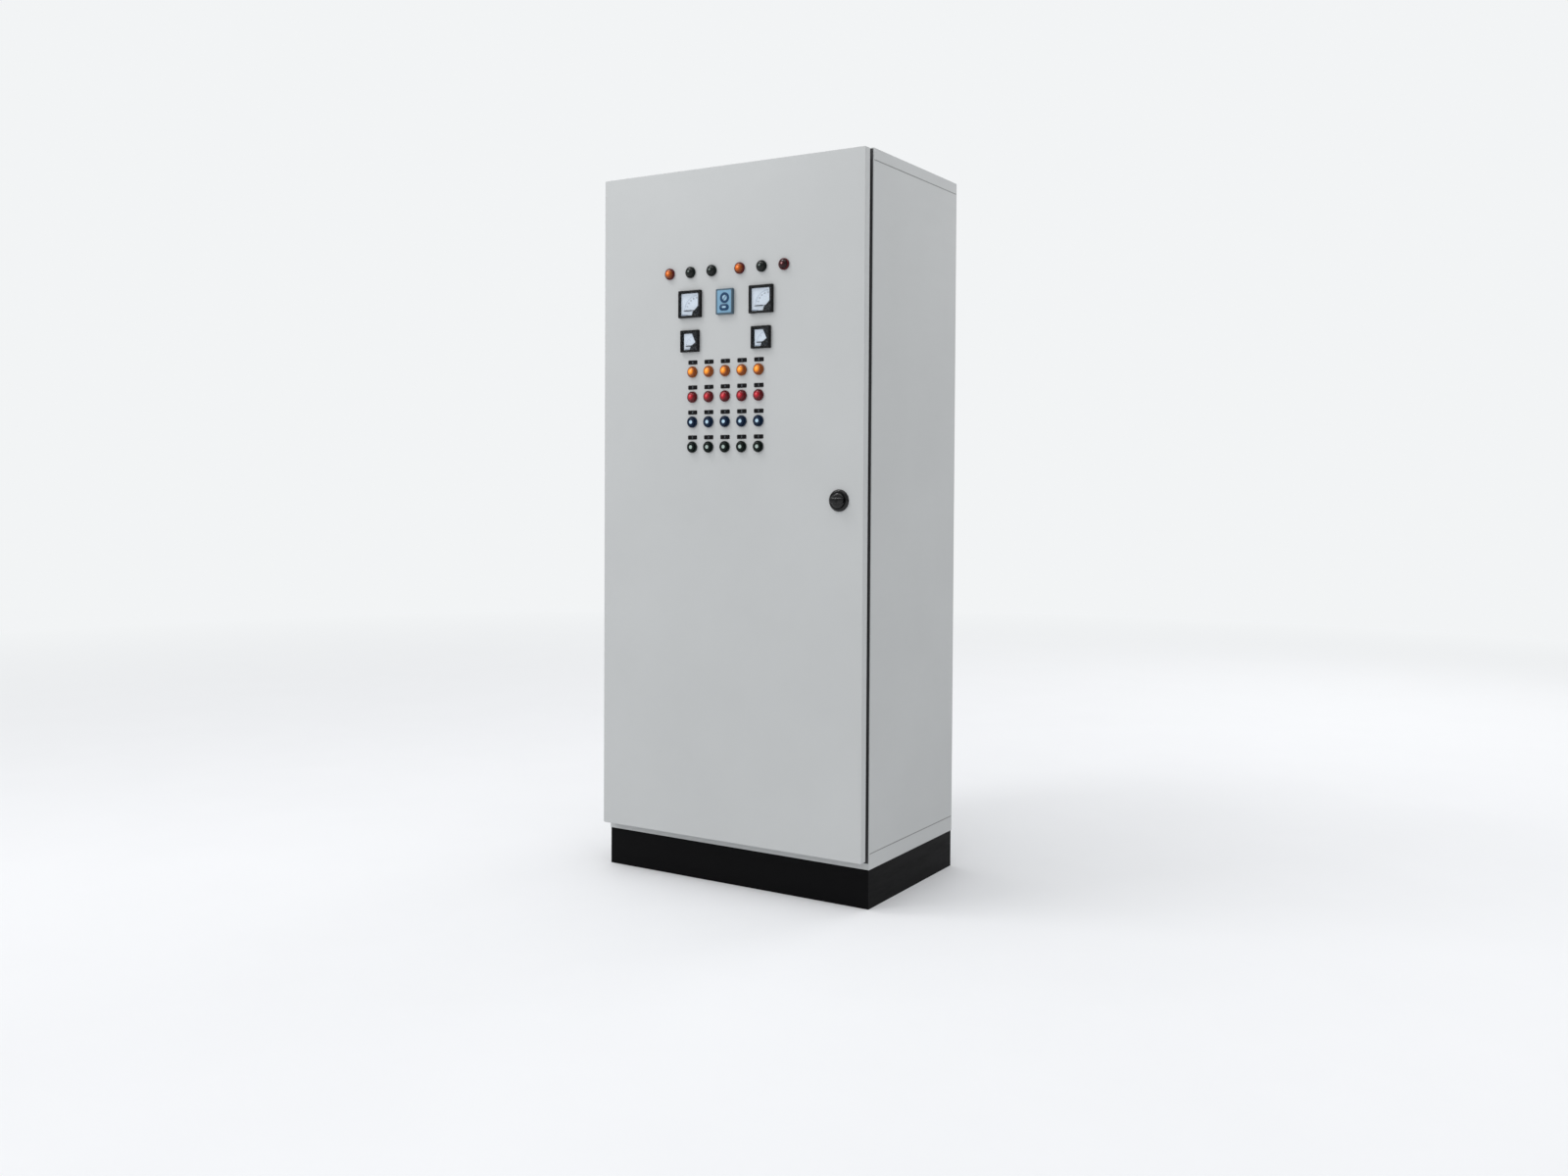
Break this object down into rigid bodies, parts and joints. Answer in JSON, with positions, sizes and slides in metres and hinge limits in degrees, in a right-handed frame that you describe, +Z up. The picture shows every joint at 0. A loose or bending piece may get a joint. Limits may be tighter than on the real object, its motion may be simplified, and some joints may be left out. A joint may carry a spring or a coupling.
{
  "type": "industrial switchboard cabinet",
  "caption": "Tall grey floor-standing switchboard cabinet on a black plinth, with a hinged front door that carries lamps, panel meters, push buttons and a turning lock.",
  "frame": {"origin": "on the floor, at the centre of the plinth's four floor anchor holes", "axes": "+Z up, -Y out of the door, +X to the right of someone who faces the door"},
  "size_m": [0.82, 0.5463, 1.9],
  "materials": {
    "grey_enamel": "fine-textured light grey powder coat",
    "black_enamel": "satin black powder coat",
    "galvanised": "galvanised sheet",
    "zinc_steel": "zinc-plated steel",
    "copper": "bare copper",
    "foam": "foamed polyurethane",
    "black_plastic": "moulded black",
    "gloss_black": "polished black",
    "duct_grey": "moulded grey",
    "device_grey": "moulded dark grey",
    "ceramic_cream": "unglazed steatite",
    "insulator_red": "moulded insulator",
    "terminal_beige": "moulded beige",
    "dial_white": "printed dial",
    "clear_window": "clear pane",
    "screen_blue": "printed light blue face",
    "amber_lens": "moulded amber",
    "red_lens": "moulded red",
    "green_lens": "moulded dark green",
    "reset_blue": "moulded blue",
    "start_green": "moulded dark green",
    "pointer_black": "matt black",
    "label_black": "engraved laminate"
  },
  "bodies": {
    "cabinet": {"plinth": "black_enamel", "frame_skeleton": "grey_enamel", "gland_plates": "galvanised", "cable_glands": "black_plastic", "front_frame": "grey_enamel", "roof_panel": "grey_enamel", "side_panel_left": "grey_enamel", "side_panel_right": "grey_enamel", "rear_panel": "grey_enamel", "panel_screws": "zinc_steel", "hinge_brackets": "zinc_steel", "rod_keepers": "zinc_steel", "mounting_plate": "galvanised", "wiring_ducts": "duct_grey", "din_rails": "zinc_steel", "main_breaker": "device_grey", "busbars": "copper", "busbar_supports": "insulator_red", "fuse_bases": "black_plastic", "fuse_links": "ceramic_cream", "contactors": "device_grey", "overload_relays": "black_plastic", "terminal_blocks": "terminal_beige"},
    "door": {"door_leaf": "grey_enamel", "door_gasket": "foam", "door_stiffeners": "galvanised", "hinge_leaves": "zinc_steel", "lock_rosette": "black_plastic", "lock_case": "zinc_steel", "rod_guides": "black_plastic", "meter_cases": "gloss_black", "meter_dials": "dial_white", "meter_windows": "clear_window", "controller_case": "device_grey", "controller_screen": "screen_blue", "device_bezels": "gloss_black", "amber_lenses": "amber_lens", "red_lenses": "red_lens", "green_lenses": "green_lens", "contact_blocks": "device_grey", "label_plates": "label_black"},
    "lock": {"lock_knob": "black_plastic", "lock_spindle": "zinc_steel"},
    "upper_rod": {"upper_lock_rod": "zinc_steel"},
    "lower_rod": {"lower_lock_rod": "zinc_steel"},
    "breaker_lever": {"main_breaker_lever": "black_plastic"},
    "reset_button_1": {"reset_button_1": "reset_blue"},
    "reset_button_2": {"reset_button_2": "reset_blue"},
    "reset_button_3": {"reset_button_3": "reset_blue"},
    "reset_button_4": {"reset_button_4": "reset_blue"},
    "reset_button_5": {"reset_button_5": "reset_blue"},
    "start_button_1": {"start_button_1": "start_green"},
    "start_button_2": {"start_button_2": "start_green"},
    "start_button_3": {"start_button_3": "start_green"},
    "start_button_4": {"start_button_4": "start_green"},
    "start_button_5": {"start_button_5": "start_green"},
    "meter_pointer_1": {"meter_pointer_1": "pointer_black"},
    "meter_pointer_2": {"meter_pointer_2": "pointer_black"},
    "meter_pointer_3": {"meter_pointer_3": "pointer_black"},
    "meter_pointer_4": {"meter_pointer_4": "pointer_black"}
  },
  "joints": [
    {"name": "door_hinge", "type": "hinge", "parent": "cabinet", "child": "door", "pos_m": [-0.404, -0.253, 1.0095], "axis": [0, 0, -1], "range_deg": [0, 120]},
    {"name": "lock_turn", "type": "hinge", "parent": "door", "child": "lock", "pos_m": [0.338, -0.27, 1.025], "axis": [0, 1, 0], "range_deg": [0, 90]},
    {"name": "upper_rod_slide", "type": "slide", "parent": "door", "child": "upper_rod", "axis": [0, 0, 1], "range_m": [0, 0.01885]},
    {"name": "lower_rod_slide", "type": "slide", "parent": "door", "child": "lower_rod", "axis": [0, 0, -1], "range_m": [0, 0.01886]},
    {"name": "main_breaker_switch", "type": "hinge", "parent": "cabinet", "child": "breaker_lever", "pos_m": [0, 0.122, 1.6525], "axis": [-1, 0, 0], "range_deg": [0, 50]},
    {"name": "reset_button_1_press", "type": "slide", "parent": "door", "child": "reset_button_1", "axis": [0, 1, 0], "range_m": [0, 0.004], "stiffness_N_per_m": 600},
    {"name": "reset_button_2_press", "type": "slide", "parent": "door", "child": "reset_button_2", "axis": [0, 1, 0], "range_m": [0, 0.004], "stiffness_N_per_m": 600},
    {"name": "reset_button_3_press", "type": "slide", "parent": "door", "child": "reset_button_3", "axis": [0, 1, 0], "range_m": [0, 0.004], "stiffness_N_per_m": 600},
    {"name": "reset_button_4_press", "type": "slide", "parent": "door", "child": "reset_button_4", "axis": [0, 1, 0], "range_m": [0, 0.004], "stiffness_N_per_m": 600},
    {"name": "reset_button_5_press", "type": "slide", "parent": "door", "child": "reset_button_5", "axis": [0, 1, 0], "range_m": [0, 0.004], "stiffness_N_per_m": 600},
    {"name": "start_button_1_press", "type": "slide", "parent": "door", "child": "start_button_1", "axis": [0, 1, 0], "range_m": [0, 0.004], "stiffness_N_per_m": 600},
    {"name": "start_button_2_press", "type": "slide", "parent": "door", "child": "start_button_2", "axis": [0, 1, 0], "range_m": [0, 0.004], "stiffness_N_per_m": 600},
    {"name": "start_button_3_press", "type": "slide", "parent": "door", "child": "start_button_3", "axis": [0, 1, 0], "range_m": [0, 0.004], "stiffness_N_per_m": 600},
    {"name": "start_button_4_press", "type": "slide", "parent": "door", "child": "start_button_4", "axis": [0, 1, 0], "range_m": [0, 0.004], "stiffness_N_per_m": 600},
    {"name": "start_button_5_press", "type": "slide", "parent": "door", "child": "start_button_5", "axis": [0, 1, 0], "range_m": [0, 0.004], "stiffness_N_per_m": 600},
    {"name": "meter_pointer_1_turn", "type": "hinge", "parent": "door", "child": "meter_pointer_1", "pos_m": [-0.09545, -0.284, 1.52392], "axis": [0, 1, 0], "range_deg": [0, 90]},
    {"name": "meter_pointer_2_turn", "type": "hinge", "parent": "door", "child": "meter_pointer_2", "pos_m": [0.12754, -0.284, 1.52392], "axis": [0, 1, 0], "range_deg": [0, 90]},
    {"name": "meter_pointer_3_turn", "type": "hinge", "parent": "door", "child": "meter_pointer_3", "pos_m": [-0.1024, -0.284, 1.43007], "axis": [0, 1, 0], "range_deg": [0, 90]},
    {"name": "meter_pointer_4_turn", "type": "hinge", "parent": "door", "child": "meter_pointer_4", "pos_m": [0.1206, -0.284, 1.43007], "axis": [0, 1, 0], "range_deg": [0, 90]}
  ],
  "couplings": [
    {"joint": "lock_turn", "follows": "upper_rod_slide", "rad_per_m": 83.333},
    {"joint": "lower_rod_slide", "follows": "upper_rod_slide", "ratio": 1}
  ]
}
